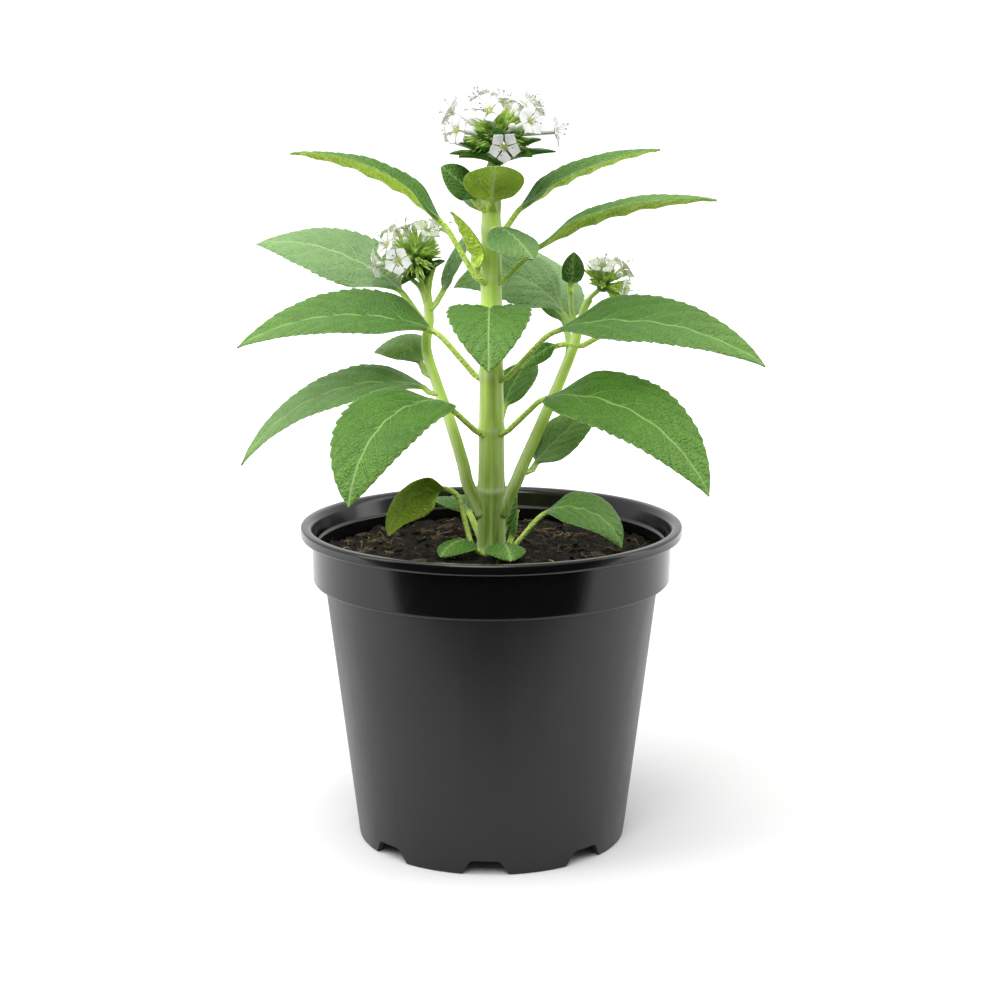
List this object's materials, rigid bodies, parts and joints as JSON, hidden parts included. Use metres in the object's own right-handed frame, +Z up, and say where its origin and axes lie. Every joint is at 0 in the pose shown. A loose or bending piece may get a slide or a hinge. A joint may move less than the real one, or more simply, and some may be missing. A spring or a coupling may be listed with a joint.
{
  "type": "stevia plant",
  "caption": "Flowering stevia herb with toothed green leaves, side branches and dense white flower heads, growing in soil in a round black nursery pot with notched feet.",
  "frame": {"origin": "middle of the pot's foot, on the surface it stands on", "axes": "+Z up along the pot's and the main stem's axis, -Y towards the viewer of the picture, +X to the viewer's right"},
  "size_m": [0.1645, 0.12, 0.2363],
  "materials": {
    "pot_plastic": "black moulded plastic, satin wall and glossier collar",
    "potting_soil": "dark moist peat with bark chips and fibres",
    "stem_green": "pale green ribbed soft stem, fine down",
    "leaf_green": "mid green, finely wrinkled leaf with pale veins and a soft sheen",
    "bract_green": "dark green pointed bracts",
    "floret_white": "white petals over yellow-green bud cups"
  },
  "bodies": {
    "root": {"bracts_left": "bract_green", "bracts_top": "bract_green", "branch_left": "stem_green", "branch_right": "stem_green", "flower_head_left": "floret_white", "flower_head_right": "floret_white", "flower_head_top": "floret_white", "leaf_axil_left": "leaf_green", "leaf_back_lower": "leaf_green", "leaf_back_middle": "leaf_green", "leaf_back_right": "leaf_green", "leaf_back_upper": "leaf_green", "leaf_base_back": "leaf_green", "leaf_base_behind": "leaf_green", "leaf_base_front_left": "leaf_green", "leaf_base_front_right": "leaf_green", "leaf_base_left": "leaf_green", "leaf_base_right": "leaf_green", "leaf_base_shoot": "leaf_green", "leaf_behind_stem": "leaf_green", "leaf_crown_back": "leaf_green", "leaf_crown_front": "leaf_green", "leaf_front_heart": "leaf_green", "leaf_front_upper": "leaf_green", "leaf_left_branch_back": "leaf_green", "leaf_left_head": "leaf_green", "leaf_lower_left": "leaf_green", "leaf_lower_left_back": "leaf_green", "leaf_lower_right": "leaf_green", "leaf_middle_left": "leaf_green", "leaf_middle_right": "leaf_green", "leaf_right_branch_low": "leaf_green", "leaf_right_branch_small": "leaf_green", "leaf_right_branch_under": "leaf_green", "leaf_right_shoot": "leaf_green", "leaf_top_left": "leaf_green", "leaf_top_right": "leaf_green", "leaf_upper_left_back": "leaf_green", "leaf_upper_right": "leaf_green", "main_stem": "stem_green", "pot": "pot_plastic", "soil": "potting_soil", "twig_right_head": "stem_green", "twig_right_shoot": "stem_green"}
  },
  "joints": []
}
